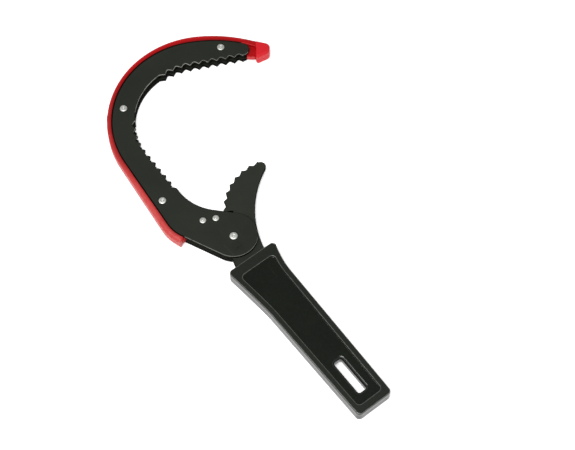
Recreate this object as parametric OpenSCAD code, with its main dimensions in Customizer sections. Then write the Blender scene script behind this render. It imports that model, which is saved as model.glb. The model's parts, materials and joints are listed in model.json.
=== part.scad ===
// Self-gripping hook wrench for spin-on oil filters.
// Two riveted steel plates form the hook, a red moulded guard covers their outer rim, and a
// toothed lever with a two-shell grip swings between the plates on one pivot.
// The hook is drawn about the pivot with its mouth to the right, then turned so that the grip
// lies along -Y. The wrench lies flat: Z = 0 is the surface under the rear rivet heads and grip.

/* [Stack] */
// Thickness of each hook plate
plate_t = 2.0; // [1.5:0.1:2.5]
// Gap between the two hook plates
gap_t = 3.4; // [3.2:0.1:4.2]
// Thickness of the lever plate
lever_t = 2.8; // [2.0:0.1:2.8]
// Thickness of each washer beside the lever
washer_t = 0.25; // [0.1:0.05:0.25]
// Height of a rivet head above its plate
head_h = 0.6; // [0.4:0.1:1.0]

/* [Hook] */
// Radius of the smooth seat that the filter lies in
seat_r = 40.0; // [39.5:0.1:40.5]
// Radius of the outer edge round the back of the hook
back_r = 55.2; // [54.5:0.1:56]
// Radius of the flatter outer edge towards the tip
brow_r = 80; // [78:1:84]
// Radius of the rounded nose of the plates
nose_r = 4.3; // [4.2:0.1:5]
// Radius of the corner between the heel and the lower edge
heel_r = 22; // [18:1:26]
// Radius of the lobe round the pivot
lobe_r = 14.3; // [13.8:0.1:14.6]
// Radius of the hollow between the lower teeth and the lobe
hollow_r = 30.4; // [30:0.1:31]

/* [Teeth] */
// Length of one tooth along the row below the seat
lower_pitch = 5.4; // [5:0.1:5.6]
// Length of one tooth along the row above the seat
upper_pitch = 5.55; // [5.4:0.05:5.6]
// Depth of a tooth below the seat
lower_depth = 2.1; // [1:0.1:2.2]
// Depth of a tooth above the seat
upper_depth = 2.0; // [1:0.1:2.6]
// Number of teeth in the row below the seat
lower_teeth = 10; // [8:1:10]
// Number of teeth in the row above the seat
upper_teeth = 9; // [7:1:9]
// Number of teeth on the lever's jaw
jaw_teeth = 7; // [5:1:9]
// Depth of a jaw tooth
jaw_depth = 1.5; // [0.6:0.1:1.6]

/* [Guard] */
// Width of the guard outside the plates round the heel
guard_w = 4.1; // [3:0.1:4.4]
// Clearance between the guard and the plates' edge
guard_gap = 0.3; // [0.1:0.05:0.4]
// Depth of the guard's web between the plates
web_depth = 8.5; // [8.5:0.1:10]
// Length of the guard's tip beyond the plates' nose
tip_reach = 12.7; // [12:0.1:14]
// Length of the low part of the guard, between the nose and the tip block
nose_floor = 4.2; // [3:0.1:5]

/* [Lever] */
// Radius of the lever's hub
hub_r = 12.8; // [11:0.1:13]
// Radius of the jaw's toothed edge
jaw_r = 33.2; // [32.5:0.1:33.5]
// Radius of the hollow back edge of the jaw
horn_back_r = 64; // [63.9:0.1:65]
// Swing from rest to the closed stop, in degrees
close_swing = 33; // [20:1:33]

/* [Grip] */
// Distance from the pivot to the grip's top end
grip_top = 16.8; // [16.5:0.1:18]
// Distance from the pivot to the grip's far end
grip_end = 131; // [128:1:150]
// Distance of the grip's centre line from the lever's, towards the hook's back
grip_offset = 0.4; // [0:0.1:0.8]
// Width that the straight sides would have at the shoulder
waist_w = 27.0; // [25:0.2:28]
// Width of the grip at its far end
end_w = 23.7; // [21:0.1:24.5]
// Length over which the shoulder flares out on the hook's side
long_flare_l = 36; // [24:1:40]
// Width of that flare
long_flare_w = 3.2; // [2:0.1:3.6]
// Length over which the shoulder flares out on the other side
short_flare_l = 20; // [14:1:30]
// Width of that flare
short_flare_w = 4.0; // [2:0.1:4.4]
// Depth of the panel sunk in each face of the grip
panel_depth = 0.9; // [0.4:0.1:1.4]
// Width of the hanging slot
slot_w = 5.2; // [4.4:0.1:8]
// Length of the hanging slot
slot_l = 22.5; // [14:0.5:25]

/* [Rivets] */
// Radius of the pivot rivet's shank
pivot_shank_r = 2.0; // [1.5:0.1:2.5]
// Radius of the pivot rivet's heads
pivot_head_r = 2.4; // [2.4:0.1:3.5]
// Outside radius of the bush that the lever turns on
bush_r = 4.0; // [3.2:0.1:5]
// Radius of the guard rivets' shanks
rivet_shank_r = 1.5; // [1:0.1:1.6]
// Radius of the guard rivets' heads
rivet_head_r = 2.25; // [2:0.05:3]
// Radius of the shouldered pins between the plates
pin_r = 1.6; // [1.4:0.1:1.6]
// Radius of those pins' riveted ends
pin_end_r = 1.25; // [0.8:0.05:1.3]
// Radius of the heads on those pins
pin_head_r = 1.95; // [1.7:0.05:2.2]

/* [Hidden] */
$fn = 64;
arc_step = 4;             // largest angle of one step along an arc
running_clearance = 0.05; // radial clearance of the lever on its bush
hole_clearance = 0.05;    // radial clearance of a rivet in its hole
through = 1;              // how far a cut runs past the face it goes through

// Heights of the stack
rear_face = head_h;
gap_floor = rear_face + plate_t;
gap_roof = gap_floor + gap_t;
front_face = gap_roof + plate_t;
overall_t = front_face + head_h;
mid = overall_t / 2;

// Directions, in degrees, in the hook's own drawing
rest_turn = -37.8;   // turn of the hook's drawing that lays the grip along -Y
brow_bend = 102.4;   // where the outer edge flattens towards the tip
nose_bend = 76.7;    // where the outer edge turns into the nose
heel_bend = 213.1;   // where the back turns into the straight heel
lower_bend = 243;    // outward direction of the straight lower edge
row_bend_low = 217;  // where the lower tooth row leaves the seat and runs straight
row_bend_high = 102; // where the upper tooth row leaves the seat and runs straight

// Centres in the hook's own drawing, about the pivot
seat_centre = [-21, 80];
back_centre = [-19.4, 79.8];
brow_centre = back_centre - (brow_r - back_r) * ray(brow_bend);
nose_centre = brow_centre + (brow_r - nose_r) * ray(nose_bend);
lobe_centre = [0, 1];
hollow_centre = [-7.9, 47.4];

// Rivets and pins, in the hook's own drawing
tip_rivet_at = [-10, 130.6];
crown_rivet_at = [-68, 86.4];
heel_rivet_at = [-42.2, 23.2];
spacer_pin_at = [-18.1, 10.1];
stop_pin_at = [-10.6, 11.6];

// ---- Plane geometry ----

function ray(a) = [cos(a), sin(a)];
function turned(p, a) = [p.x * cos(a) - p.y * sin(a), p.x * sin(a) + p.y * cos(a)];
function reversed(list) = [for (i = [len(list) - 1 : -1 : 0]) list[i]];

// Points along an arc from angle a0 to angle a1
function arc(c, r, a0, a1) =
    let (n = max(2, ceil(abs(a1 - a0) / arc_step)))
    [for (i = [0 : n]) c + r * ray(a0 + (a1 - a0) * i / n)];

// How far a circle reaches in a direction: the distance of its tangent line
function reach(c, r, a) = c * ray(a) + r;

// Where two lines cross, each given by its outward direction and its distance from the pivot
function meet(a1, d1, a2, d2) =
    [d1 * sin(a2) - d2 * sin(a1), d2 * cos(a1) - d1 * cos(a2)] / sin(a2 - a1);

// The rounded corner between the heel and the lower edge, a distance out from the plates
function heel_corner(out) =
    let (r = heel_r + out,
         heel_d = reach(back_centre, back_r, heel_bend) - heel_r,
         lower_d = reach(lobe_centre, lobe_r, lower_bend) - heel_r)
    arc(meet(heel_bend, heel_d, lower_bend, lower_d), r, heel_bend, lower_bend);

// The end of that corner, run on straight along the lower edge
function heel_end(out, run) =
    let (corner = heel_corner(out))
    [corner[len(corner) - 1] + run * ray(lower_bend + 90)];

// The plates' outer edge from the nose to the heel corner, moved out by a distance
function outer_edge(out, nose_from) = concat(
    arc(nose_centre, nose_r + out, nose_from, nose_bend),
    arc(brow_centre, brow_r + out, nose_bend, brow_bend),
    arc(back_centre, back_r + out, brow_bend, heel_bend),
    heel_corner(out));

// A point on a tooth row. The row follows a circle about the seat, then leaves it along its
// tangent at the angle bend: u is the length from there, positive along the straight, and
// depth is how far into the metal the point lies. side is 1 for the row that runs straight
// anticlockwise and -1 for the other.
function row_point(r, bend, side, u, depth) =
    let (a = bend + side * min(u, 0) * 180 / (PI * r))
    seat_centre + (r + depth) * ray(a) + side * max(u, 0) * ray(a + 90);

// One tooth: shares of the pitch and of the depth, from one tip to just before the next. The
// tip is sharp and the gullet is rounded; lean is where the gullet's floor lies.
function tooth(lean) =
    [[0, 0], [0.72 * lean, 0.84], [lean, 1], [lean + 0.28 * (1 - lean), 0.84]];

lower_row_r = 39.5;
lower_row_end = 30.6; // straight length of the lower row
lower_lean = 0.5;
function lower_row() = [
    for (i = [0 : lower_teeth - 1], t = tooth(lower_lean))
        row_point(lower_row_r, row_bend_low, 1,
                  lower_row_end - (i + t[0]) * lower_pitch, t[1] * lower_depth),
    row_point(lower_row_r, row_bend_low, 1, lower_row_end - lower_teeth * lower_pitch, 0)];

upper_row_r = 38.1;
upper_row_end = 33.7; // straight length of the upper row
upper_lean = 0.5;
function upper_row() = [
    for (i = [0 : upper_teeth - 1], t = tooth(upper_lean))
        row_point(upper_row_r, row_bend_high, -1,
                  upper_row_end - (upper_teeth - i - t[0]) * upper_pitch,
                  t[1] * upper_depth),
    row_point(upper_row_r, row_bend_high, -1, upper_row_end, 0)];

// The hollow and the lobe are joined by the line that touches both, between them
lobe_to_hollow = hollow_centre - lobe_centre;
hollow_touch = atan2(lobe_to_hollow.y, lobe_to_hollow.x)
    - acos((lobe_r + hollow_r) / norm(lobe_to_hollow));
hollow_end = 212; // where the hollow meets the lower tooth row
seat_from = 179;  // smooth part of the seat, between the two tooth rows
seat_to = 131;

chin_bend = -78;  // where the nose ends and the upper tooth row starts

function plate_outline() = concat(
    outer_edge(0, chin_bend),
    arc(lobe_centre, lobe_r, lower_bend, 360 + hollow_touch),
    arc(hollow_centre, hollow_r, hollow_touch + 180, hollow_end),
    lower_row(),
    arc(seat_centre, seat_r, seat_from, seat_to),
    upper_row());

// ---- Guard ----

guard_centre = [-18.35, 80.1];
guard_back_r = back_r + 4.3;
guard_brow_bend = 97;
guard_brow_r = 85.7;
guard_brow_centre = guard_centre - (guard_brow_r - guard_back_r) * ray(guard_brow_bend);
guard_end_bend = 75.5; // from here the guard's outer edge runs straight on to its blunt end
tip_x = nose_centre.x + nose_r + tip_reach;
chin_y = nose_centre.y - nose_r;

// The block at the guard's tip: a low corner, a slanted side towards the teeth and a blunt end
block_left = nose_centre.x + nose_r + nose_floor;
block_rise = reach(guard_brow_centre, guard_brow_r, guard_end_bend);
low_round = 1.2;
low_corner = [block_left + 1.3, chin_y - 0.2];
slant_bend = -62;      // outward direction of the slanted side
cheek_round = 3;       // corner between the slanted side and the blunt end
tip_round = 3.2;       // corner between the blunt end and the outer edge
slant_d = reach(low_corner, low_round, slant_bend);
function block_corners() = concat(
    arc(low_corner, low_round, -160, slant_bend),
    arc(meet(slant_bend, slant_d - cheek_round, 0, tip_x - cheek_round),
        cheek_round, slant_bend, 0),
    arc(meet(0, tip_x - tip_round, guard_end_bend, block_rise - tip_round),
        tip_round, 0, guard_end_bend));

// The rim round the plates' outer edge. Past the nose its inner wall runs straight to the block.
rim_run = 1.2;         // how far the rim runs on past the heel corner
inner_from = 62;       // the rim leaves the nose here
inner_round = 1.5;     // hollow corner between the rim and the block
inner_corner = meet(0, block_left - inner_round, guard_end_bend,
                    reach(nose_centre, nose_r, guard_end_bend) - inner_round);
function guard_outline() = concat(
    [[block_left, chin_y]],
    block_corners(),
    arc(guard_brow_centre, guard_brow_r, guard_end_bend, guard_brow_bend),
    arc(guard_centre, guard_back_r, guard_brow_bend, heel_bend),
    heel_corner(guard_w),
    heel_end(guard_w, rim_run),
    heel_end(guard_gap, rim_run),
    reversed(outer_edge(guard_gap, inner_from)),
    reversed(arc(inner_corner, inner_round, 0, guard_end_bend)));

// The web between the plates: under the rim, from past the tip rivet to the guard's lower end.
web_out = 1.5;  // how far the web runs into the guard's rim
web_from = 84;  // where the web starts, short of the nose
web_run = 2;    // how far the web runs on past the heel corner
function web_edge(out) = concat(
    arc(brow_centre, brow_r + out, web_from, brow_bend),
    arc(back_centre, back_r + out, brow_bend, heel_bend),
    heel_corner(out),
    heel_end(out, web_run));
function web_outline() = concat(web_edge(web_out), reversed(web_edge(-web_depth)));
nose_web_depth = 3.5; // the web is shallower under the nose, clear of the teeth
nose_web_to = 74.5;
function nose_web_outline() = concat(
    arc(brow_centre, brow_r + web_out, nose_web_to, web_from + 1),
    reversed(arc(brow_centre, brow_r - nose_web_depth, nose_web_to, web_from + 1)));

// Past the nose the web goes on as a low floor between the rim and the tip block
floor_left = nose_centre.x + 2.9;
function nose_floor_outline() = [
    [floor_left, chin_y],
    [block_left + web_out, chin_y],
    [block_left + web_out, nose_centre.y + nose_r - 0.6],
    [floor_left, nose_centre.y + nose_r + 0.4]];

// ---- Lever, drawn about the pivot with the grip along -Y ----

jaw_centre = [33.8, -0.1];
horn_back_centre = [72.2, -31.3];
horn_tip = [41.3, 28.3];
horn_tip_r = 3.1;
jaw_from = 76;  // the jaw's toothed edge, from the horn's tip to its root
jaw_to = 146;
jaw_lean = 0.6;
neck_left = -10.1;
neck_right = 10;
tang_w = 14;
tang_end = 90;
tang_corner = 3;
neck_root = 20;  // where the neck starts to narrow, inside the grip
tang_start = 30; // where the tang is at its own width

// The tang's sides, larger all round by a clearance
function tang_points(gap) = concat(
    [[neck_left - gap, -neck_root - gap], [-tang_w / 2 - gap, -tang_start - gap]],
    arc([tang_corner - tang_w / 2, tang_corner - tang_end], tang_corner + gap, 180, 270),
    arc([tang_w / 2 - tang_corner, tang_corner - tang_end], tang_corner + gap, 270, 360),
    [[tang_w / 2 + gap, -tang_start - gap], [neck_right + gap, -neck_root - gap]]);

// The jaw's tooth line, from the horn's tip to its root
function jaw_row() =
    let (step = (jaw_to - jaw_from) / jaw_teeth)
    [for (i = [0 : jaw_teeth - 1], t = tooth(jaw_lean))
        jaw_centre + (jaw_r - t[1] * jaw_depth) * ray(jaw_from + (i + t[0]) * step)];

// The notch in the hub's edge, in which the stop pin runs as the lever closes
stop_pin_r = norm(stop_pin_at);
stop_pin_angle = atan2(stop_pin_at.y, stop_pin_at.x) + rest_turn;
notch_gap = 0.3;
notch_r = stop_pin_r + pin_r + notch_gap;
notch_end = stop_pin_angle - close_swing - asin((pin_r + notch_gap) / stop_pin_r);
jaw_root = jaw_centre + jaw_r * ray(jaw_to);
root_angle = atan2(jaw_root.y, jaw_root.x);
neck_bend = 228; // where the hub meets the neck's left side

back_start = acos((neck_right - horn_back_centre.x) / horn_back_r);
back_stop = atan2(horn_tip.y - horn_back_centre.y, horn_tip.x - horn_back_centre.x);

function lever_outline() = concat(
    tang_points(0),
    arc(horn_back_centre, horn_back_r, back_start, back_stop),
    arc(horn_tip, horn_tip_r, back_stop - 180, jaw_from),
    jaw_row(),
    [jaw_root],
    arc([0, 0], notch_r, root_angle, notch_end),
    arc([0, 0], hub_r, notch_end, neck_bend),
    [[neck_left, -grip_top + 2]]);

// ---- Grip ----

corner_r = 2.7;
taper = (waist_w - end_w) / 2 / (grip_end - grip_top);
long_flare = [long_flare_l, long_flare_w, 1.2];    // length, width and power of the long flare
short_flare = [short_flare_l, short_flare_w, 1.8]; // and of the short one
// Half the grip's width at a distance from the pivot
function half_width(d, shape) =
    waist_w / 2 - taper * (d - grip_top)
    + shape[1] * pow(max(0, 1 - (d - grip_top) / shape[0]), shape[2]);

// One long side of the grip with its two corners, from a top distance to an end distance,
// drawn in by an inset. The steps are closer together along the flare.
side_steps = 20;
function grip_side(top, end, inset, corner, shape) =
    [for (i = [0 : side_steps])
        let (d = top + corner + (end - top - 2 * corner) * pow(i / side_steps, 2))
        [half_width(d, shape) - inset, -d]];
function grip_half(top, end, inset, corner, shape) =
    let (side = grip_side(top, end, inset, corner, shape),
         first = side[0],
         last = side[side_steps])
    concat(
        arc([first.x - corner, first.y], corner, 90, 0),
        side,
        arc([last.x - corner, last.y], corner, 0, -90));
function mirrored(list) = reversed([for (p = list) [-p.x, p.y]]);
function grip_outline(top, end, inset, corner) = concat(
    grip_half(top, end, inset, corner, short_flare),
    mirrored(grip_half(top, end, inset, corner, long_flare)));

panel_inset = 3.7;
panel_top = grip_top + 6.9;
panel_end = grip_end - 4.8;
panel_corner = 2.4;
slot_centre = [-0.8, -108.75];
slot_corner = 1.2;
peg_r = 2.4;
pegs = [-42, -80];  // distances of the two locating pegs along the tang
tang_clearance = 0.05;

function rounded_rectangle(w, l, r) =
    let (x = w / 2 - r, y = l / 2 - r)
    concat(arc([x, y], r, 0, 90), arc([-x, y], r, 90, 180),
           arc([-x, -y], r, 180, 270), arc([x, -y], r, 270, 360));

// ---- Place: the origin is under the middle of the whole wrench at rest ----

hook_points = [for (p = guard_outline()) turned(p, rest_turn)];
plate_points = [for (p = plate_outline()) turned(p, rest_turn)];
all_x = concat([for (p = hook_points) p.x], [for (p = plate_points) p.x]);
all_y = [for (p = hook_points) p.y];
origin = [(min(all_x) + max(all_x)) / 2, (max(all_y) - grip_end) / 2];

module at_pivot() {
    translate([-origin.x, -origin.y, 0]) children();
}

module as_hook() {
    at_pivot() rotate([0, 0, rest_turn]) children();
}

// ---- Fasteners ----

// A low domed head on the XY plane
rim_h = 0.15;
module domed_head(r) {
    dome_h = head_h - rim_h;
    dome_r = (dome_h * dome_h + r * r) / (2 * dome_h);
    intersection() {
        cylinder(r = r, h = head_h);
        translate([0, 0, head_h - dome_r]) sphere(r = dome_r);
    }
}

// A rivet through both plates, with a domed head on each side
module rivet(shank, head) {
    translate([0, 0, rear_face]) cylinder(r = shank, h = front_face - rear_face);
    translate([0, 0, front_face]) domed_head(head);
    translate([0, 0, rear_face]) mirror([0, 0, 1]) domed_head(head);
}

// A rivet with a thicker middle that holds the plates apart
module shouldered_pin() {
    rivet(pin_end_r, pin_head_r);
    translate([0, 0, gap_floor]) cylinder(r = pin_r, h = gap_t);
}

// A hole through the hook from side to side
module rivet_hole(at, r) {
    translate([at.x, at.y, -through])
        cylinder(r = r + hole_clearance, h = overall_t + 2 * through);
}

// ---- Sub-parts ----

module hook_plate(z) {
    as_hook() difference() {
        translate([0, 0, z]) linear_extrude(plate_t) polygon(plate_outline());
        rivet_hole(tip_rivet_at, rivet_shank_r);
        rivet_hole(crown_rivet_at, rivet_shank_r);
        rivet_hole(heel_rivet_at, rivet_shank_r);
        rivet_hole(spacer_pin_at, pin_end_r);
        rivet_hole(stop_pin_at, pin_end_r);
        rivet_hole([0, 0], pivot_shank_r);
    }
}

module front_plate() {
    color("#30322D") hook_plate(gap_roof);
}

module rear_plate() {
    color("#30322D") hook_plate(rear_face);
}

module edge_guard() {
    color("#C8000F") as_hook() difference() {
        union() {
            translate([0, 0, rear_face])
                linear_extrude(front_face - rear_face) polygon(guard_outline());
            translate([0, 0, gap_floor]) linear_extrude(gap_t) polygon(web_outline());
            translate([0, 0, gap_floor]) linear_extrude(gap_t) polygon(nose_web_outline());
            translate([0, 0, gap_floor]) linear_extrude(gap_t) polygon(nose_floor_outline());
        }
        rivet_hole(tip_rivet_at, rivet_shank_r);
        rivet_hole(crown_rivet_at, rivet_shank_r);
        rivet_hole(heel_rivet_at, rivet_shank_r);
    }
}

module guard_rivet(at) {
    color("#D8DAD6") as_hook() translate([at.x, at.y, 0]) rivet(rivet_shank_r, rivet_head_r);
}

module tip_rivet() {
    guard_rivet(tip_rivet_at);
}

module crown_rivet() {
    guard_rivet(crown_rivet_at);
}

module heel_rivet() {
    guard_rivet(heel_rivet_at);
}

module spacer_pin() {
    color("#D8DAD6") as_hook() translate([spacer_pin_at.x, spacer_pin_at.y, 0]) shouldered_pin();
}

module stop_pin() {
    color("#D8DAD6") as_hook() translate([stop_pin_at.x, stop_pin_at.y, 0]) shouldered_pin();
}

module pivot_rivet() {
    color("#D8DAD6") at_pivot() rivet(pivot_shank_r, pivot_head_r);
}

module pivot_bush() {
    color("#A9ABA6") at_pivot() translate([0, 0, gap_floor]) difference() {
        cylinder(r = bush_r, h = gap_t);
        translate([0, 0, -through])
            cylinder(r = pivot_shank_r + hole_clearance, h = gap_t + 2 * through);
    }
}

washer_r = 9;
module pivot_washer(z) {
    color("#8F9089") at_pivot() translate([0, 0, z]) difference() {
        cylinder(r = washer_r, h = washer_t);
        translate([0, 0, -through])
            cylinder(r = bush_r + hole_clearance, h = washer_t + 2 * through);
    }
}

module pivot_washer_front() {
    pivot_washer(gap_roof - washer_t);
}

module pivot_washer_rear() {
    pivot_washer(gap_floor);
}

module jaw_lever() {
    color("#34362F") at_pivot() translate([0, 0, mid - lever_t / 2]) difference() {
        linear_extrude(lever_t) polygon(lever_outline());
        translate([0, 0, -through])
            cylinder(r = bush_r + running_clearance, h = lever_t + 2 * through);
        for (y = pegs)
            translate([0, y, -through])
                cylinder(r = peg_r + hole_clearance, h = lever_t + 2 * through);
    }
}

// Half of the grip, drawn from the parting face up
module grip_shell() {
    shell_t = overall_t / 2;
    pocket_t = lever_t / 2 + tang_clearance;
    difference() {
        translate([-grip_offset, 0, 0]) linear_extrude(shell_t)
            polygon(grip_outline(grip_top, grip_end, 0, corner_r));
        translate([-grip_offset, 0, shell_t - panel_depth])
            linear_extrude(panel_depth + through)
            polygon(grip_outline(panel_top, panel_end, panel_inset, panel_corner));
        translate([slot_centre.x, slot_centre.y, -through])
            linear_extrude(shell_t + 2 * through)
            polygon(rounded_rectangle(slot_w, slot_l, slot_corner));
        translate([0, 0, -through]) linear_extrude(pocket_t + through)
            polygon(concat([[neck_left - tang_clearance, -grip_top + through]],
                           tang_points(tang_clearance),
                           [[neck_right + tang_clearance, -grip_top + through]]));
    }
}

// Locating pegs run from the front shell's pocket through the tang into the rear shell
socket_depth = 1.2;
module grip_pegs(clearance) {
    peg_h = lever_t + 2 * tang_clearance + socket_depth;
    for (y = pegs)
        translate([0, y, mid - lever_t / 2 - tang_clearance - socket_depth])
            cylinder(r = peg_r + clearance, h = peg_h);
}

module grip_front() {
    color("#22251F") at_pivot() {
        translate([0, 0, mid]) grip_shell();
        grip_pegs(0);
    }
}

module grip_rear() {
    color("#22251F") at_pivot() difference() {
        translate([0, 0, mid]) mirror([0, 0, 1]) grip_shell();
        grip_pegs(hole_clearance);
    }
}

front_plate();
rear_plate();
edge_guard();
tip_rivet();
crown_rivet();
heel_rivet();
spacer_pin();
stop_pin();
pivot_rivet();
pivot_bush();
pivot_washer_front();
pivot_washer_rear();
jaw_lever();
grip_front();
grip_rear();
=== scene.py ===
import json
import math

import bmesh
import bpy
import numpy as np
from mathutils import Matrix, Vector
from mathutils.geometry import delaunay_2d_cdt

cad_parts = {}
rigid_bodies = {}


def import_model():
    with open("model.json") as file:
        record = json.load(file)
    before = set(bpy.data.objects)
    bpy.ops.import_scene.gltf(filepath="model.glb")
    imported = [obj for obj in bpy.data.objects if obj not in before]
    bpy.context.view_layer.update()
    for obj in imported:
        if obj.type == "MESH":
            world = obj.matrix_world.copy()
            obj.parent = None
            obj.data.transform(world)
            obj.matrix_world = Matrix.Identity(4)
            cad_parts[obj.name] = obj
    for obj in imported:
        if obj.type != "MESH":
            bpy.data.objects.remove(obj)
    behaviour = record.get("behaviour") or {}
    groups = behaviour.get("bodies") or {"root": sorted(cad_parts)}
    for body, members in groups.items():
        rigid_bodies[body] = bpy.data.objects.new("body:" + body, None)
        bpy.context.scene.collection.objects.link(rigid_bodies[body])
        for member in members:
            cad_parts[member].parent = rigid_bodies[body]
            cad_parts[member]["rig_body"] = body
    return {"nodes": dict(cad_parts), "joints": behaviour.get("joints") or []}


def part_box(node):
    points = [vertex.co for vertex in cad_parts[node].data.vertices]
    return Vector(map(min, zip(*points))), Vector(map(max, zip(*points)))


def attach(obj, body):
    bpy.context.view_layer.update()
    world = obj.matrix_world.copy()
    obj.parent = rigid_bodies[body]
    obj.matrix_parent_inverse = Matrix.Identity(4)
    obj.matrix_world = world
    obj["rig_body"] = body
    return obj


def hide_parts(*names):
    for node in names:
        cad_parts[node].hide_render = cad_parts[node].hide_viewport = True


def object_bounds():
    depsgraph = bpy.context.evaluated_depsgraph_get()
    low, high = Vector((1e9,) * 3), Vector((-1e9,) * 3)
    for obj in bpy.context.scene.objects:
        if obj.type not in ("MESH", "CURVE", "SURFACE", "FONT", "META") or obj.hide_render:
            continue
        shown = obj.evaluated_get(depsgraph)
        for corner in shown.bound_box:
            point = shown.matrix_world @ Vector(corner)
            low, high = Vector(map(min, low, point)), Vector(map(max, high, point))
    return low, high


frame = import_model()
cad_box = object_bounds()

# ---- Dimensions, in metres, in the row frame ----

MM = 0.001
NODES = frame["nodes"]
PIVOT = Vector(frame["joints"][0]["pos_m"])
HOOK_TURN = math.radians(-37.8)  # the hook's drawing is turned by this, so that the grip lies along -Y
OVERALL = cad_box[1].z
MID = OVERALL / 2
FRONT_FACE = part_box("front_plate")[1].z
REAR_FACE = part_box("rear_plate")[0].z
GAP_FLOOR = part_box("rear_plate")[1].z
GAP_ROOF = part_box("front_plate")[0].z
NEAR = 0.02 * MM          # heights closer than this are the same
WELD = 0.001 * MM         # points closer than this are one point
LEVEL_TILT = 0.99         # a face whose normal's height is above this is level
UPRIGHT_TILT = 0.3        # and one below this is upright
SMOOTH_ANGLE = math.radians(38)
NORMAL_WEIGHT = 80


def row_xy(x, y):
    """A point given in millimetres in the hook's own drawing, in the row frame, in metres."""
    c, s = math.cos(HOOK_TURN), math.sin(HOOK_TURN)
    return Vector((PIVOT.x + (x * c - y * s) * MM, PIVOT.y + (x * s + y * c) * MM, 0))


# ---- Mesh helpers ----


def cad_copy(node):
    """A copy of a CAD node's mesh with its corners joined and each flat face whole."""
    bm = bmesh.new()
    bm.from_mesh(NODES[node].data)
    bmesh.ops.remove_doubles(bm, verts=bm.verts, dist=WELD)
    bmesh.ops.dissolve_limit(
        bm, angle_limit=math.radians(0.3), verts=bm.verts, edges=bm.edges
    )
    bmesh.ops.recalc_face_normals(bm, faces=bm.faces)
    bm.normal_update()
    return bm


def flat_and_wall(edge):
    """The edge's level face and its upright face, or None if it doesn't join one of each."""
    if len(edge.link_faces) != 2:
        return None
    a, b = edge.link_faces
    if abs(a.normal.z) < abs(b.normal.z):
        a, b = b, a
    if abs(a.normal.z) > LEVEL_TILT and abs(b.normal.z) < UPRIGHT_TILT:
        return a, b
    return None


def level(edge, z):
    return all(abs(v.co.z - z) < NEAR for v in edge.verts)


def middle(edge):
    return (edge.verts[0].co + edge.verts[1].co) / 2


def round_edges(bm, edges, width, segments=3):
    """Rounds these edges. Returns the new faces."""
    before = set(bm.faces)
    bmesh.ops.bevel(
        bm,
        geom=edges,
        offset=width,
        offset_type="OFFSET",
        segments=segments,
        profile=0.5,
        affect="EDGES",
        clamp_overlap=False,
    )
    bm.normal_update()
    return [f for f in bm.faces if f not in before]


WALL_TILT = 0.12  # a plate's face whose normal is flatter than this is a wall


def mark_edges(bm, highlight_and_wear):
    """Marks the tilted faces of the rims with the share of painted highlight and wear that the given
    test returns, and the others as wall, for painted shade.
    """
    rim = bm.loops.layers.float.new("rim")
    wall = bm.loops.layers.float.new("wall")
    for face in bm.faces:
        steep = abs(face.normal.z)
        tilted = WALL_TILT < steep < LEVEL_TILT
        lit_and_worn = highlight_and_wear(face.calc_center_median(), face.normal) if tilted else 0.0
        for loop in face.loops:
            loop[rim] = lit_and_worn
            loop[wall] = 1.0 if steep <= WALL_TILT or (tilted and not lit_and_worn) else 0.0


def level_loops(bm, z):
    """The closed outlines of the flat faces at a height, as arrays of points."""
    after = {}
    for edge in bm.edges:
        if level(edge, z) and flat_and_wall(edge):
            for a, b in (edge.verts, reversed(edge.verts)):
                after.setdefault(a, []).append(b)
    loops = []
    while after:
        start = next(iter(after))
        loop = [start]
        here, last = after[start][0], start
        while here is not start:
            loop.append(here)
            ahead = [v for v in after[here] if v is not last]
            here, last = ahead[0], here
        for vert in loop:
            after.pop(vert)
        loops.append(np.array([(v.co.x, v.co.y) for v in loop]))
    return loops


def fine_loop(loop, step):
    """The loop with points no further apart than a step."""
    points = []
    for a, b in zip(loop, np.roll(loop, -1, axis=0)):
        count = max(1, math.ceil(np.hypot(*(b - a)) / step))
        points += [a + (b - a) * i / count for i in range(count)]
    return np.array(points)


def distance_to(points, starts, ends):
    """The distance of each point to the nearest of these segments."""
    along = ends - starts
    share = ((points[:, None] - starts) * along).sum(2) / (along**2).sum(1)
    nearest = starts + np.clip(share, 0, 1)[..., None] * along
    return np.sqrt(((points[:, None] - nearest) ** 2).sum(2)).min(1)


def within(points, starts, ends):
    """Whether each point lies inside the outlines, by counting crossings."""
    x, y = points[:, :1], points[:, 1:]
    spans = (starts[:, 1] > y) != (ends[:, 1] > y)
    rise = np.where(ends[:, 1] == starts[:, 1], 1, ends[:, 1] - starts[:, 1])
    cross = starts[:, 0] + (y - starts[:, 1]) * (ends[:, 0] - starts[:, 0]) / rise
    return (spans & (x < cross)).sum(1) % 2 == 1


def eased(distance, radius):
    """How far a rounded rim drops below its face at a distance in from the wall."""
    d = radius - np.minimum(distance, radius)
    return radius - np.sqrt(np.maximum(radius**2 - d**2, 0))


RING_STEPS = 4  # rings of points across a rounded rim


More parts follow.
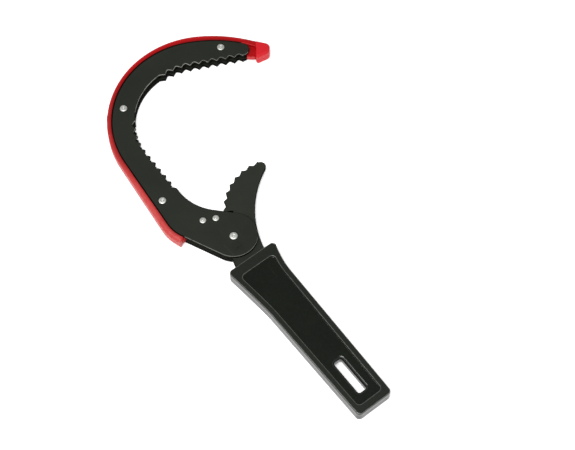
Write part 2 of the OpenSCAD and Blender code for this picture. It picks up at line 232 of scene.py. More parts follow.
def eased_slab(bm, loops, low, high, kinds, step=1.5 * MM, groove=0, crown=None, flat=(1, 1)):
    """Adds a slab between two heights, with its rims rounded on both faces.

    kinds gives pairs of a radius and a test of a wall's middle and outward direction; each wall
    takes the first radius whose test passes. groove is the depth of a line round the middle of
    the walls, and crown gives an extra height for points on both faces. flat gives the height of
    the rounding as shares of its radius, on the upper and the lower face.
    """
    loops = [fine_loop(loop, step) for loop in loops]
    starts = np.concatenate(loops)
    ends = np.concatenate([np.roll(loop, -1, axis=0) for loop in loops])
    along = ends - starts
    normals = np.stack([along[:, 1], -along[:, 0]], 1) / np.hypot(*along.T)[:, None]
    middles = (starts + ends) / 2
    probe = within(middles + normals * 0.01 * MM, starts, ends)
    normals[probe] *= -1
    radius = np.array([next(r for r, test in kinds if test(m, n)) for m, n in zip(middles, normals)])
    offset, points, corner_out = 0, [starts], []
    for loop in loops:
        n = normals[offset : offset + len(loop)]
        r = radius[offset : offset + len(loop)]
        corner = n + np.roll(n, 1, axis=0)
        corner /= np.maximum(np.hypot(*corner.T), 0.3)[:, None]
        reach = np.maximum(r, np.roll(r, 1))
        for i in range(1, RING_STEPS + 1):
            share = 1 - math.cos(math.pi / 2 * i / RING_STEPS)
            inset = loop - corner * (reach * share)[:, None]
            gap = distance_to(inset, starts, ends)
            good = within(inset, starts, ends) & (gap > 0.75 * reach * share)
            points.append(inset[good])
        corner_out.append(corner)
        offset += len(loop)
    if crown is not None:
        points.append(crown(None))
    points = np.concatenate(points)
    edges, offset = [], 0
    for loop in loops:
        edges += [(offset + i, offset + (i + 1) % len(loop)) for i in range(len(loop))]
        offset += len(loop)
    verts, _, faces, _, _, _ = delaunay_2d_cdt(
        [Vector(p) / MM for p in points], edges, [], 0, 0.0005
    )
    plan = np.array(verts) * MM
    centres = np.array([plan[list(f)].mean(0) for f in faces])
    faces = [f for f, inside in zip(faces, within(centres, starts, ends)) if inside]
    drop = np.zeros(len(plan))
    for r in sorted(set(radius)):
        chosen = radius == r
        drop = np.maximum(drop, eased(distance_to(plan, starts[chosen], ends[chosen]), r))
    lift = 0 if crown is None else crown(plan)
    top = [bm.verts.new((x, y, z)) for (x, y), z in zip(plan, high - drop * flat[0] + lift)]
    bottom = [bm.verts.new((x, y, z)) for (x, y), z in zip(plan, low + drop * flat[1] - lift)]
    count = {}
    for f in faces:
        bm.faces.new([top[i] for i in f])
        bm.faces.new([bottom[i] for i in reversed(f)])
        for a, b in zip(f, f[1:] + f[:1]):
            count[(a, b)] = True
    rim = [(a, b) for a, b in count if (b, a) not in count]
    rows = {}

    def wall_row(i):
        """The points down a wall at one outline point, from the top rim to the bottom rim."""
        if i in rows:
            return rows[i]
        row = [top[i]]
        if groove:
            near = np.hypot(*(starts - plan[i]).T).argmin()
            inward = -np.concatenate(corner_out)[near] * groove
            middle_z = (low + high) / 2
            for height, depth in ((1.6, 0), (0, 1), (-1.6, 0)):
                at = plan[i] + inward * depth
                row.append(bm.verts.new((at[0], at[1], middle_z + height * groove)))
        rows[i] = row + [bottom[i]]
        return rows[i]

    for a, b in rim:
        left, right = wall_row(a), wall_row(b)
        for j in range(len(left) - 1):
            bm.faces.new([left[j], left[j + 1], right[j + 1], right[j]])
    loose = [v for v in bm.verts if not v.link_faces]
    bmesh.ops.delete(bm, geom=loose, context="VERTS")
    bmesh.ops.recalc_face_normals(bm, faces=bm.faces)
    bm.normal_update()


def add_piece(bm, name, node, material):
    """Makes a piece from the mesh. It stands for the CAD node and rides on that node's body."""
    mesh = bpy.data.meshes.new(name)
    bm.to_mesh(mesh)
    bm.free()
    mesh.polygons.foreach_set("use_smooth", [True] * len(mesh.polygons))
    mesh.set_sharp_from_angle(angle=SMOOTH_ANGLE)
    mesh.materials.append(material)
    piece = bpy.data.objects.new(name, mesh)
    bpy.context.scene.collection.objects.link(piece)
    even = piece.modifiers.new("even_normals", "WEIGHTED_NORMAL")
    even.keep_sharp = True
    even.weight = NORMAL_WEIGHT
    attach(piece, NODES[node]["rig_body"])
    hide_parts(node)
    return piece


def lathe(profile, centre, steps=72):
    """A turned solid: profile is (radius, height) from the axis at the bottom to the axis at the top."""
    bm = bmesh.new()
    rings = []
    for radius, height in profile:
        if radius == 0:
            rings.append([bm.verts.new((centre.x, centre.y, height))])
            continue
        rings.append(
            [
                bm.verts.new(
                    (
                        centre.x + radius * math.cos(2 * math.pi * i / steps),
                        centre.y + radius * math.sin(2 * math.pi * i / steps),
                        height,
                    )
                )
                for i in range(steps)
            ]
        )
    for low, high in zip(rings, rings[1:]):
        for i in range(steps):
            j = (i + 1) % steps
            corners = [low[i % len(low)], low[j % len(low)], high[j % len(high)], high[i % len(high)]]
            bm.faces.new(list(dict.fromkeys(corners)))
    bm.normal_update()
    return bm


# ---- Materials ----


class Nodes:
    """Short names for building one node material."""

    def __init__(self, name):
        self.material = bpy.data.materials.new(name)
        self.material.use_nodes = True
        self.tree = self.material.node_tree
        self.shader = self.tree.nodes["Principled BSDF"]
        self.place = self.add("ShaderNodeTexCoord").outputs["Object"]

    def add(self, kind, **values):
        node = self.tree.nodes.new(kind)
        for key, value in values.items():
            setattr(node, key, value)
        return node

    def link(self, source, target):
        self.tree.links.new(source, target)

    def noise(self, scale, detail=4.0, roughness=0.55, stretch=None, turn=0.0):
        place = self.place
        if stretch is not None:
            mapping = self.add("ShaderNodeMapping")
            mapping.inputs["Scale"].default_value = stretch
            mapping.inputs["Rotation"].default_value = (0, 0, turn)
            self.link(place, mapping.inputs["Vector"])
            place = mapping.outputs["Vector"]
        node = self.add("ShaderNodeTexNoise")
        node.inputs["Scale"].default_value = scale
        node.inputs["Detail"].default_value = detail
        node.inputs["Roughness"].default_value = roughness
        self.link(place, node.inputs["Vector"])
        return node.outputs["Fac"]

    def span(self, source, low, high, to_low=0.0, to_high=1.0):
        """Maps a value from one span to another, held at both ends."""
        node = self.add("ShaderNodeMapRange")
        node.clamp = True
        node.inputs["From Min"].default_value = low
        node.inputs["From Max"].default_value = high
        node.inputs["To Min"].default_value = to_low
        node.inputs["To Max"].default_value = to_high
        self.link(source, node.inputs["Value"])
        return node.outputs["Result"]

    def math(self, operation, a, b=None):
        node = self.add("ShaderNodeMath", operation=operation)
        for socket, value in zip(node.inputs, (a, b)):
            if value is None:
                continue
            if isinstance(value, (int, float)):
                socket.default_value = value
            else:
                self.link(value, socket)
        return node.outputs["Value"]

    def mix(self, factor, a, b):
        """A mix of two colours, each a colour or a socket."""
        node = self.add("ShaderNodeMix", data_type="RGBA")
        self.link(factor, node.inputs["Factor"])
        for socket, value in ((node.inputs[6], a), (node.inputs[7], b)):
            if isinstance(value, tuple):
                socket.default_value = (*value, 1.0)
            else:
                self.link(value, socket)
        return node.outputs[2]

    def bump(self, height, distance, strength=1.0, onto=None):
        node = self.add("ShaderNodeBump")
        node.inputs["Strength"].default_value = strength
        node.inputs["Distance"].default_value = distance
        self.link(height, node.inputs["Height"])
        if onto is not None:
            self.link(onto, node.inputs["Normal"])
        return node.outputs["Normal"]

    def attribute(self, name):
        return self.add("ShaderNodeAttribute", attribute_name=name).outputs["Fac"]

    def near(self, point, inner, outer):
        """1 within inner of an upright line through a point, falling to 0 at outer."""
        flat = self.add("ShaderNodeVectorMath", operation="MULTIPLY")
        flat.inputs[1].default_value = (1, 1, 0)
        self.link(self.place, flat.inputs[0])
        distance = self.add("ShaderNodeVectorMath", operation="DISTANCE")
        distance.inputs[1].default_value = (point.x, point.y, 0)
        self.link(flat.outputs["Vector"], distance.inputs[0])
        return self.span(distance.outputs["Value"], inner, outer, 1.0, 0.0)

    def finish(self, colour, roughness, normal=None, **values):
        self.link(colour, self.shader.inputs["Base Color"])
        self.link(roughness, self.shader.inputs["Roughness"])
        if normal is not None:
            self.link(normal, self.shader.inputs["Normal"])
        for key, value in values.items():
            self.shader.inputs[key.replace("_", " ")].default_value = value
        return self.material


def centre_of(node):
    low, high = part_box(node)
    return (low + high) / 2


FASTENERS = ("tip_rivet", "crown_rivet", "heel_rivet", "spacer_pin", "stop_pin", "pivot_rivet")


# A dark metallic surface mirrors almost nothing, so this share takes the sheen off the walls and the
# faces with painted shade.
SHEEN_OFF = 0.8
# dark colour for the painted shade round the rivet heads and for a dark patch near the pivot
SHADE_AND_PATCH_DARK = (0.005, 0.0055, 0.0045)
SCUFFED = (0.12, 0.13, 0.11)
DUSTY = (0.2, 0.2, 0.18)
# near-black painted shade for the walls and the unlit rims
WALL_SHADE = (0.002, 0.002, 0.0015)
# lighter rim colour: a painted highlight along the rims, with worn paint
RIM_HIGHLIGHT_AND_WEAR = (0.30, 0.30, 0.27)
SHADE_RING = 0.8 * MM  # how far the painted shade reaches out from a rivet head


def painted_plate(name, base, rim_highlight_strength):
    """Satin black paint on stamped steel, worn thin along the rims with a painted highlight there, on
    rough punched walls darkened with painted shade, and with painted shade round the rivet heads.
    """
    n = Nodes(name)
    cloud = n.noise(38, 3.0)
    colour = n.mix(
        n.span(cloud, 0.3, 0.7),
        tuple(0.88 * c for c in base),
        tuple(1.12 * c for c in base),
    )
    # painted shade: a dark ring round each rivet head where its shadow falls, then a dark patch near the
    # pivot
    ring_shade_and_patch = None
    for fastener in FASTENERS:
        low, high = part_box(fastener)
        head = (high.x - low.x) / 2
        ring = n.near(centre_of(fastener), head, head + SHADE_RING)
        ring_shade_and_patch = ring if ring_shade_and_patch is None else n.math("MAXIMUM", ring_shade_and_patch, ring)
    dark_patch = n.near(row_xy(2, -7), 0.5 * MM, 5 * MM)
    dark_patch = n.math("MULTIPLY", dark_patch, n.span(n.noise(300, 3.0), 0.35, 0.6))
    ring_shade_and_patch = n.math("MAXIMUM", ring_shade_and_patch, dark_patch)
    colour = n.mix(n.math("MULTIPLY", ring_shade_and_patch, 0.75), colour, SHADE_AND_PATCH_DARK)
    scuffs = n.noise(900, 2.0, 0.6, (1.0, 0.05, 1.0), math.radians(24))
    scuffs = n.span(scuffs, 0.66, 0.8)
    colour = n.mix(n.math("MULTIPLY", scuffs, 0.08), colour, SCUFFED)
    dust = n.span(n.noise(1100, 2.0), 0.70, 0.78)
    colour = n.mix(n.math("MULTIPLY", dust, 0.10), colour, DUSTY)
    # painted shade: the walls and the unlit rims go near black
    colour = n.mix(n.math("MULTIPLY", n.attribute("wall"), 0.9), colour, WALL_SHADE)
    # painted highlight and wear along the rims
    lit_and_worn = n.span(n.noise(420, 3.0), 0.25, 0.5, 0.35, 1.0)
    lit_and_worn = n.math("MULTIPLY", n.math("MULTIPLY", n.attribute("rim"), lit_and_worn), rim_highlight_strength)
    colour = n.mix(lit_and_worn, colour, RIM_HIGHLIGHT_AND_WEAR)
    roughness = n.span(n.noise(160, 4.0), 0.25, 0.75, 0.48, 0.58)
    roughness = n.math("ADD", roughness, n.math("MULTIPLY", n.attribute("wall"), 0.35))
    peel = n.bump(n.noise(1500, 2.0), 0.012 * MM)
    dark_metal = n.math("MULTIPLY", n.attribute("wall"), SHEEN_OFF)
    n.link(dark_metal, n.shader.inputs["Metallic"])
    return n.finish(colour, roughness, peel, Specular_IOR_Level=0.17)


# near-black colour for painted shade in creases, recesses and at the foot of walls
SHADE_BLACK = (0.004, 0.001, 0.001)


def moulded_plastic(name, base, deep, highlight_colour, pale, rough, wave, specular=0.5):
    """Glossy moulded plastic: faint sink marks, a very fine grain and a few handling marks.

    base and deep are the cloudy colour, the third colour is that of the painted highlight on rounded
    rims, and pale the lighter colour of the rougher marked faces, painted light on the guard's tip
    block. Faces marked with painted shade are nearly black.
    """
    n = Nodes(name)
    colour = n.mix(n.span(n.noise(60, 3.0), 0.3, 0.7), base, deep)
    colour = n.mix(n.attribute("rougher_and_paler"), colour, pale)
    # faces marked with painted shade go nearly black
    colour = n.mix(n.math("MULTIPLY", n.attribute("painted_shade"), 0.9), colour, SHADE_BLACK)
    painted_highlight = n.span(n.noise(350, 3.0), 0.25, 0.6, 0.5, 1.0)
    painted_highlight = n.math("MULTIPLY", n.attribute("painted_highlight"), painted_highlight)
    # painted highlight on rounded rims
    colour = n.mix(painted_highlight, colour, highlight_colour)
    fine = n.span(n.noise(700, 3.0), 0.3, 0.7)
    marks = n.noise(420, 2.0, 0.6, (1.0, 0.06, 1.0), math.radians(8))
    marks = n.span(marks, 0.68, 0.8)
    roughness = n.span(fine, 0, 1, rough, rough + 0.05)
    roughness = n.math("ADD", roughness, n.math("MULTIPLY", marks, 0.04))
    roughness = n.math("ADD", roughness, n.math("MULTIPLY", n.attribute("rougher_and_paler"), 0.08))
    sink = n.bump(n.noise(45, 2.0), wave)
    grain = n.bump(n.noise(2600, 2.0), 0.003 * MM, onto=sink)
    dark_metal = n.math("MULTIPLY", n.attribute("painted_shade"), SHEEN_OFF)
    n.link(dark_metal, n.shader.inputs["Metallic"])
    return n.finish(colour, roughness, grain, Specular_IOR_Level=specular)


def zinc(name, tone, rough):
    """Bright zinc plating on a pressed head, with a fine mottle."""
    n = Nodes(name)
    mottle = n.span(n.noise(1300, 4.0), 0.3, 0.7)
    colour = n.mix(mottle, tuple(0.88 * t for t in tone), tone)
    roughness = n.span(n.noise(2200, 3.0), 0.3, 0.7, rough - 0.06, rough + 0.08)
    dents = n.bump(n.noise(1700, 3.0), 0.02 * MM)
    return n.finish(colour, roughness, dents, Metallic=1.0)


plate_paint = painted_plate("plate_paint", (0.0140, 0.0168, 0.0115), 0.85)
lever_paint = painted_plate("lever_paint", (0.0170, 0.0202, 0.0143), 0.3)
guard_red = moulded_plastic(
    "guard_red",
    base=(0.47, 0.0006, 0.0026),
    deep=(0.40, 0.0005, 0.0020),
    highlight_colour=(0.50, 0.10, 0.09),
    pale=(0.56, 0.008, 0.015),
    rough=0.36,
    wave=0.08 * MM,
    specular=0.3,
)
grip_black = moulded_plastic(
    "grip_black",
    base=(0.0036, 0.0054, 0.0030),
    deep=(0.0050, 0.0070, 0.0040),
    highlight_colour=(0.11, 0.115, 0.10),
    pale=(0.0077, 0.0100, 0.0065),
    rough=0.20,
    wave=0.12 * MM,
)
rivet_zinc = zinc("rivet_zinc", (0.62, 0.63, 0.59), 0.52)
plain_steel = zinc("plain_steel", (0.46, 0.45, 0.43), 0.42)


# ---- The hook's own drawing ----

GUARD_MIDDLE = np.array((-18.35, 80.1)) * MM  # centre of the back arc, in the hook's drawing
BLOCK_LEFT = 11.8 * MM                       # the tip block starts here, in the hook's drawing
BLOCK_RISE = 0.3 * MM


def in_hook(points):
    """Row-frame points in the hook's own drawing."""
    c, s = math.cos(-HOOK_TURN), math.sin(-HOOK_TURN)
    return (points - np.array(PIVOT.xy)) @ np.array(((c, s), (-s, c)))


# ---- Hook plates ----

RIM_ROUND = 0.28 * MM


GUARD_NOSE_X = 3.0 * MM   # past this the guard's edge turns down round the plates' ends
GUARD_END_X = -28.5 * MM  # the guard covers the outer edge up to here, in the hook's drawing
HEEL_Y = 20 * MM
SEAT_MIDDLE = np.array((-21, 80)) * MM
SEAT_EDGE = 40.3 * MM
SEAT_HIGHLIGHT_AND_WEAR, EDGE_HIGHLIGHT_AND_WEAR = 1.0, 0.5
LIT_SIDE = -0.1  # rims that look further towards the grip's end than this get the painted highlight and wear


def rounded_plate(node, highlight_and_wear):
    """A flat stamped part with the rims of both faces eased."""
    low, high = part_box(node)
    cad = cad_copy(node)
    loops = level_loops(cad, high.z)
    cad.free()
    bm = bmesh.new()
    eased_slab(bm, loops, low.z, high.z, [(RIM_ROUND, lambda middle, out: True)])
    mark_edges(bm, highlight_and_wear)
    return bm


def build_plate(node, name):
    def highlight_and_wear(at, normal):
        """How much painted highlight and wear a rim takes: most round the seat, and none where the guard
        covers it.
        """
        if abs(at.z - MID) < (FRONT_FACE - MID) / 2 + RIM_ROUND:
            return 0.0
        place = in_hook(np.array(at.xy)[None])[0]
        way = in_hook(np.array((at + normal).xy)[None])[0] - place
        covered = way.dot(place - GUARD_MIDDLE) > 0
        bare_edge = place[0] > GUARD_END_X and place[1] < HEEL_Y
        if way[1] > LIT_SIDE or (covered and not bare_edge):
            return 0.0
        return SEAT_HIGHLIGHT_AND_WEAR if np.hypot(*(place - SEAT_MIDDLE)) < SEAT_EDGE else EDGE_HIGHLIGHT_AND_WEAR

    return add_piece(rounded_plate(node, highlight_and_wear), name, node, plate_paint)


build_plate("front_plate", "hook_plate_front")
build_plate("rear_plate", "hook_plate_rear")


# ---- Edge guard ----


CHEEK_ROUND = 1.7 * MM
HEEL_ROUND = 2.9 * MM
OUTSIDE_ROUND = 1.8 * MM
INNER_ROUND = 0.3 * MM
WEB_ROUND = 0.15 * MM
GUARD_STEP = 1.0 * MM        # points along the guard's outline are no further apart
GUARD_GROOVE = 0.18 * MM
GUARD_FLATNESS = (0.75, 0.35)  # the rounding's height on the front and the rear, as shares
STEP_START, STEP_SPACING, STEP_COUNT = 124, 0.8, 13  # points along that step, in millimetres
STEP_WIDTH = 0.6 * MM        # the tip block's face rises over this width
LOW_EDGE = 0.9 * MM          # the guard's outer wall takes painted shade below this height over the rear face


def on_cheek(middle, out):
    """Whether a wall of the tip block looks towards the teeth."""
    at = in_hook(middle[None])[0]
    way = in_hook(middle[None] + out)[0] - at
    return at[0] > BLOCK_LEFT + 0.1 * MM and way[1] < 0.2


def on_heel(middle, out):
    """Whether a wall runs round the guard's heel, on the side of the grip's end."""
    at = in_hook(middle[None])[0]
    way = in_hook(middle[None] + out)[0] - at
    return way[1] < -0.25 and way.dot(at - GUARD_MIDDLE) > 0 and at[0] < GUARD_END_X - 4 * MM


def on_outside(middle, out):
    """Whether a wall runs round the outside of the guard."""
    at = in_hook(middle[None])[0]
    way = in_hook(middle[None] + out)[0] - at
    return way.dot(at - GUARD_MIDDLE) > 0 and way[0] > -0.999


def block_crown(points):
    """The height of the tip block above the guard's face. Without points, where its step lies."""
    if points is None:
        step = [
            row_xy(BLOCK_LEFT / MM + x, STEP_START + STEP_SPACING * i).xy
            for x in (0.0, 0.15, 0.3, 0.45, 0.6)
            for i in range(STEP_COUNT)
        ]
        return np.array(step)
    share = np.clip((in_hook(points)[:, 0] - BLOCK_LEFT) / STEP_WIDTH, 0, 1)
    return BLOCK_RISE * share * share * (3 - 2 * share)


def highlight_share(spot, clear):
    """How much painted highlight the guard takes: most round the heel and on its outer half, least at
    the crown.
    """
    if spot[0] > GUARD_NOSE_X:
        return 0.0
    along = np.interp(spot[1] / MM, (30, 50, 85, 105), (0.6, 0.28, 0.16, 0.0))
    return along * np.interp(clear / MM, (0.4, 2.4), (0.3, 1.0))


def shade_share(spot, clear):
    """How much painted shade the guard's face takes: most next to the plates, and a little on the
    straight side.
    """
    if spot[0] > GUARD_NOSE_X:
        return 0.0 if spot[0] > BLOCK_LEFT else 0.14
    along = np.interp(spot[1] / MM, (28, 50, 105, 122), (0.0, 0.14, 0.14, 0.06))
    return max(along, along + np.interp(clear / MM, (0.2, 1.5), (0.42, 0.0)))


def build_guard():
    cad = cad_copy("edge_guard")
    rim_loops = level_loops(cad, FRONT_FACE)
    web_loops = level_loops(cad, GAP_ROOF)
    cad.free()
    bm = bmesh.new()
    kinds = [
        (CHEEK_ROUND, on_cheek),
        (HEEL_ROUND, on_heel),
        (OUTSIDE_ROUND, on_outside),
        (INNER_ROUND, lambda middle, out: True),
    ]
    eased_slab(
        bm,
        rim_loops,
        REAR_FACE,
        FRONT_FACE,
        kinds,
        step=GUARD_STEP,
        groove=GUARD_GROOVE,
        crown=block_crown,
        flat=GUARD_FLATNESS,
    )
    eased_slab(bm, web_loops, GAP_FLOOR, GAP_ROOF, [(WEB_ROUND, lambda middle, out: True)])
    painted_shade = bm.loops.layers.float.new("painted_shade")
    painted_highlight = bm.loops.layers.float.new("painted_highlight")
    rougher_and_paler = bm.loops.layers.float.new("rougher_and_paler")
    plate = cad_copy("front_plate")
    outline = level_loops(plate, FRONT_FACE)
    plate.free()
    starts = np.concatenate(outline)
    ends = np.concatenate([np.roll(loop, -1, axis=0) for loop in outline])
    bm.verts.index_update()
    spots = np.array([v.co.xy for v in bm.verts])
    clear = distance_to(spots, starts, ends)  # how far each point stands off the plates
    spots = in_hook(spots)
    for face in bm.faces:
        at = in_hook(np.array(face.calc_center_median().xy)[None])[0]
        way = in_hook(np.array((face.calc_center_median() + face.normal).xy)[None])[0] - at
        tilted = abs(face.normal.z) < LEVEL_TILT
        inward = way.dot(at - GUARD_MIDDLE) < 0
        beside_plates = inward and at[0] < GUARD_NOSE_X
        low = not inward and face.calc_center_median().z < REAR_FACE + LOW_EDGE
        for loop in face.loops:
            i = loop.vert.index
            # painted light: the tip block takes the paler colour, standing for light through the plastic
            # where no plates lie behind it
            loop[rougher_and_paler] = 1.0 if at[0] > BLOCK_LEFT else 0.0
            # painted shade: on the walls beside the plates, at the foot of the outer wall, on faces near
            # the plates and on the nose floor
            if abs(face.normal.z) < UPRIGHT_TILT or low:
                loop[painted_shade] = 1.0 if beside_plates else 0.45 if low else 0.0
                loop[painted_highlight] = 0.0 if beside_plates else highlight_share(spots[i], clear[i])
                continue
            loop[painted_shade] = 1.0 if tilted and beside_plates else shade_share(spots[i], clear[i])
            # painted highlight, most round the heel
            loop[painted_highlight] = highlight_share(spots[i], clear[i])
    return add_piece(bm, "moulded_edge_guard", "edge_guard", guard_red)


build_guard()


# ---- Rivets, pins, bush and washers ----


HEAD_HEIGHT = 0.6 * MM
RIVET_SHANK, RIVET_HEAD = 1.5 * MM, 2.25 * MM
PIN_SHANK, PIN_MIDDLE, PIN_HEAD = 1.25 * MM, 1.6 * MM, 1.95 * MM
PIVOT_SHANK, PIVOT_HEAD = 2.0 * MM, 2.4 * MM
BUSH_INNER, BUSH_OUTER, BUSH_BEVEL = 2.05 * MM, 4.0 * MM, 0.2 * MM
WASHER_INNER, WASHER_OUTER, WASHER_BEVEL = 4.05 * MM, 9.0 * MM, 0.06 * MM


def head_points(radius, face, away):
    """A low domed head with a shallow dimple, from its edge on the plate to its middle."""
    shape = [(1.0, 0.0), (1.0, 0.26), (0.985, 0.42), (0.95, 0.56), (0.89, 0.70), (0.80, 0.82),
             (0.68, 0.91), (0.54, 0.97), (0.44, 1.0), (0.40, 0.98), (0.35, 0.80), (0.30, 0.66),
             (0.24, 0.66), (0.17, 0.82), (0.10, 0.90), (0.0, 0.92)]
    return [(radius * r, face + away * HEAD_HEIGHT * k) for r, k in shape]


def build_rivet(node, name, shank, head, middle_r=None):
    profile = list(reversed(head_points(head, REAR_FACE, -1)))
    profile.append((shank, REAR_FACE))
    if middle_r:
        profile += [(shank, GAP_FLOOR), (middle_r, GAP_FLOOR), (middle_r, GAP_ROOF), (shank, GAP_ROOF)]
    profile.append((shank, FRONT_FACE))
    profile += head_points(head, FRONT_FACE, 1)
    bm = lathe(profile, centre_of(node))
    return add_piece(bm, name, node, rivet_zinc)


for where in ("tip", "crown", "heel"):
    build_rivet(where + "_rivet", where + "_rivet_turned", RIVET_SHANK, RIVET_HEAD)
build_rivet("spacer_pin", "spacer_pin_turned", PIN_SHANK, PIN_HEAD, PIN_MIDDLE)
build_rivet("stop_pin", "stop_pin_turned", PIN_SHANK, PIN_HEAD, PIN_MIDDLE)
build_rivet("pivot_rivet", "pivot_rivet_turned", PIVOT_SHANK, PIVOT_HEAD)


def build_ring(node, name, inner, outer, bevel):
    low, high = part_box(node)
    z0, z1 = low.z, high.z
    profile = [(inner, z0 + bevel), (inner + bevel, z0), (outer - bevel, z0), (outer, z0 + bevel),
               (outer, z1 - bevel), (outer - bevel, z1), (inner + bevel, z1), (inner, z1 - bevel),
               (inner, z0 + bevel)]
    bm = lathe(profile, centre_of(node))
    bmesh.ops.remove_doubles(bm, verts=bm.verts, dist=WELD)
    bmesh.ops.recalc_face_normals(bm, faces=bm.faces)
    return add_piece(bm, name, node, plain_steel)


build_ring("pivot_bush", "pivot_bush_turned", BUSH_INNER, BUSH_OUTER, BUSH_BEVEL)
for side in ("front", "rear"):
    build_ring(
        "pivot_washer_" + side, side + "_washer_pressed", WASHER_INNER, WASHER_OUTER, WASHER_BEVEL
    )


# ---- Lever ----


def build_lever():
    bm = rounded_plate("jaw_lever", lambda at, normal: 0.0)
    return add_piece(bm, "toothed_jaw_lever", "jaw_lever", lever_paint)


build_lever()


# ---- Grip ----


PANEL_DEPTH = 0.9 * MM
SLOT_MIDDLE = Vector((PIVOT.x - 0.8 * MM, PIVOT.y - 108.75 * MM))
SLOT_REACH = Vector((2.8, 11.5)) * MM
GRIP_MIDDLE = Vector((PIVOT.x - 0.4 * MM, PIVOT.y - 73 * MM))


RIM_OUTER_ROUND = 0.8 * MM
RIM_INNER_ROUND = 0.45 * MM
SLOT_ROUND = 1.9 * MM
PANEL_ROUND = 0.3 * MM
PARTING_ROUND = 0.22 * MM
RIM_STEEPEST, RIM_FLATTEST = 0.6, 0.985  # the tilts of the faces on the rim's rounding
HIGHLIGHT_DEPTH = 0.75 * MM  # the rim's rounding takes the painted highlight down to this depth
GRIP_LOW = 0.7 * MM       # the outer wall takes painted shade below this height


def near_slot(at):
    return (
        abs(at.x - SLOT_MIDDLE.x) < SLOT_REACH.x and abs(at.y - SLOT_MIDDLE.y) < SLOT_REACH.y
    )


def on_slot(edge):
    return near_slot(middle(edge))


def faces_out(face):
    """Whether an upright face looks away from the grip's middle."""
    centre = face.calc_center_median()
    return face.normal.xy.dot(centre.xy - GRIP_MIDDLE) > 0


def build_shell(node, name, face):
    """A grip shell whose outside is at height face."""
    bm = cad_copy(node)
    floor_z = face + (PANEL_DEPTH if face < MID else -PANEL_DEPTH)
    rims = [e for e in bm.edges if level(e, face) and flat_and_wall(e)]
    outer = [e for e in rims if faces_out(flat_and_wall(e)[1])]
    round_edges(bm, outer, RIM_OUTER_ROUND, 5)
    rims = [e for e in bm.edges if level(e, face) and flat_and_wall(e)]
    round_edges(bm, rims, RIM_INNER_ROUND, 4)
    slot = [e for e in bm.edges if level(e, floor_z) and on_slot(e) and flat_and_wall(e)]
    round_edges(bm, slot, SLOT_ROUND, 6)
    hollow = [e for e in bm.edges if level(e, floor_z) and not on_slot(e) and flat_and_wall(e)]
    round_edges(bm, hollow, PANEL_ROUND, 3)
    parting = [e for e in bm.edges if level(e, MID) and flat_and_wall(e) and not on_slot(e)]
    parting = [e for e in parting if faces_out(flat_and_wall(e)[1])]
    round_edges(bm, parting, PARTING_ROUND, 2)
    painted_highlight = bm.loops.layers.float.new("painted_highlight")
    painted_shade = bm.loops.layers.float.new("painted_shade")
    rougher_and_paler = bm.loops.layers.float.new("rougher_and_paler")
    for face in bm.faces:
        at = face.calc_center_median()
        depth = MID - abs(at.z - MID)  # below the shell's outer face
        tilt = abs(face.normal.z)
        outward = faces_out(face)
        edge = depth < HIGHLIGHT_DEPTH and RIM_STEEPEST < tilt < RIM_FLATTEST
        step = not outward and tilt < RIM_STEEPEST and depth < PANEL_DEPTH and not near_slot(at)
        low = outward and tilt < RIM_STEEPEST and at.z < GRIP_LOW
        for loop in face.loops:
            # painted highlight on the rim's rounding
            loop[painted_highlight] = 0.0 if not edge else 1.0 if outward else 0.85
            # painted shade on the panel's inner walls and at the foot of the outer wall
            loop[painted_shade] = 1.0 if step else 0.8 if low else 0.0
            loop[rougher_and_paler] = 1.0 if depth < NEAR and tilt > LEVEL_TILT else 0.0
    return add_piece(bm, name, node, grip_black)


build_shell("grip_front", "grip_shell_front", OVERALL)
build_shell("grip_rear", "grip_shell_rear", 0.0)


# ---- Stage ----

LOOK_AT = row_xy(31.3, 11.0) + Vector((0, 0, 0.5 * MM))
AZIMUTH = math.radians(-37.8)
ELEVATION = math.radians(62.9)
DISTANCE = 941.2 * MM
SENSOR = 36
PICTURE_WIDTH = 575
FOCAL_PIXELS = 1600
FLOOR_DROP = 0.1 * MM

floor_mesh = bpy.data.meshes.new("floor")
reach = 2.5  # metres each way, past anything the camera sees
floor_mesh.from_pydata(
    [(-reach, -reach, 0), (reach, -reach, 0), (reach, reach, 0), (-reach, reach, 0)],
    [],
    [(0, 1, 2, 3)],
)
floor = bpy.data.objects.new("floor", floor_mesh)
floor.location.z = -FLOOR_DROP
bpy.context.scene.collection.objects.link(floor)
floor_material = bpy.data.materials.new("pale_floor")
floor_material.use_nodes = True
floor_shader = floor_material.node_tree.nodes["Principled BSDF"]
floor_shader.inputs["Base Color"].default_value = (0.9, 0.9, 0.9, 1)
floor_shader.inputs["Roughness"].default_value = 0.9
floor_shader.inputs["Specular IOR Level"].default_value = 0.0
floor_shader.inputs["Emission Color"].default_value = (1, 1, 1, 1)
floor_shader.inputs["Emission Strength"].default_value = 0.45
floor_mesh.materials.append(floor_material)

RING_LIGHT = 0.8  # a soft band of light all round, above the horizon and below the zenith

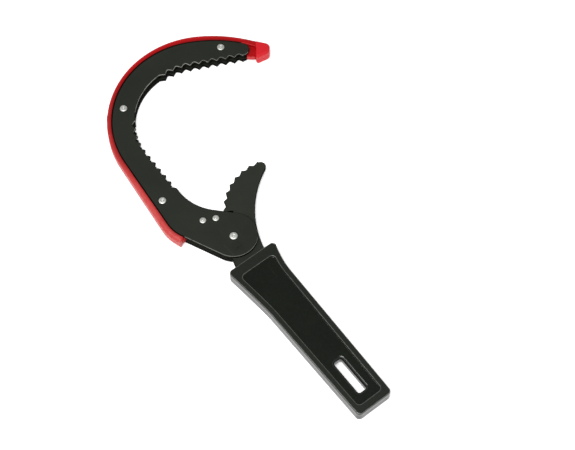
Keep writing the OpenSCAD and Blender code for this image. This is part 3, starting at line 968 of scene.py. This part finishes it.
world = bpy.data.worlds.new("studio")
bpy.context.scene.world = world
world.use_nodes = True
world_tree = world.node_tree
world_out = world_tree.nodes["World Output"]
soft = world_tree.nodes["Background"]
soft.inputs["Color"].default_value = (1, 1, 1, 1)
heights = world_tree.nodes.new("ShaderNodeTexCoord")
height = world_tree.nodes.new("ShaderNodeSeparateXYZ")
ring = world_tree.nodes.new("ShaderNodeFloatCurve")
curve = ring.mapping.curves[0]
curve.points[0].location = (0.0, 0.25)
curve.points[1].location = (1.0, 0.12)
for at, strength in ((0.22, 0.25), (0.34, RING_LIGHT), (0.62, RING_LIGHT), (0.76, 0.12)):
    curve.points.new(at, strength)
for point in curve.points:
    point.handle_type = "VECTOR"
ring.mapping.update()
world_tree.links.new(heights.outputs["Generated"], height.inputs["Vector"])
world_tree.links.new(height.outputs["Z"], ring.inputs["Value"])
world_tree.links.new(ring.outputs["Value"], soft.inputs["Strength"])
seen = world_tree.nodes.new("ShaderNodeBackground")
seen.inputs["Color"].default_value = (1, 1, 1, 1)
seen.inputs["Strength"].default_value = 1.0
path = world_tree.nodes.new("ShaderNodeLightPath")
blend = world_tree.nodes.new("ShaderNodeMixShader")
world_tree.links.new(path.outputs["Is Camera Ray"], blend.inputs["Fac"])
world_tree.links.new(soft.outputs["Background"], blend.inputs[1])
world_tree.links.new(seen.outputs["Background"], blend.inputs[2])
world_tree.links.new(blend.outputs["Shader"], world_out.inputs["Surface"])


def add_light(name, direction, distance, size, power):
    data = bpy.data.lights.new(name, "AREA")
    data.shape = "DISK"
    data.size = size
    data.energy = power
    light = bpy.data.objects.new(name, data)
    towards = Vector(direction).normalized()
    light.location = LOOK_AT + towards * distance
    light.rotation_mode = "QUATERNION"
    light.rotation_quaternion = towards.to_track_quat("Z", "Y")
    bpy.context.scene.collection.objects.link(light)
    return light


add_light("overhead", (-0.35, -0.12, 0.93), 1.2, 0.8, 15)

camera_data = bpy.data.cameras.new("camera")
camera_data.sensor_width = SENSOR
camera_data.lens = SENSOR * FOCAL_PIXELS / PICTURE_WIDTH
camera = bpy.data.objects.new("camera", camera_data)
back = Vector(
    (
        math.sin(AZIMUTH) * math.cos(ELEVATION),
        -math.cos(AZIMUTH) * math.cos(ELEVATION),
        math.sin(ELEVATION),
    )
)
camera.location = LOOK_AT + back * DISTANCE
camera.rotation_mode = "QUATERNION"
camera.rotation_quaternion = (-back).to_track_quat("-Z", "Y")
camera_data.clip_start = 0.01
camera_data.clip_end = 20
bpy.context.scene.collection.objects.link(camera)
bpy.context.scene.camera = camera
bpy.context.scene.view_settings.view_transform = "Standard"
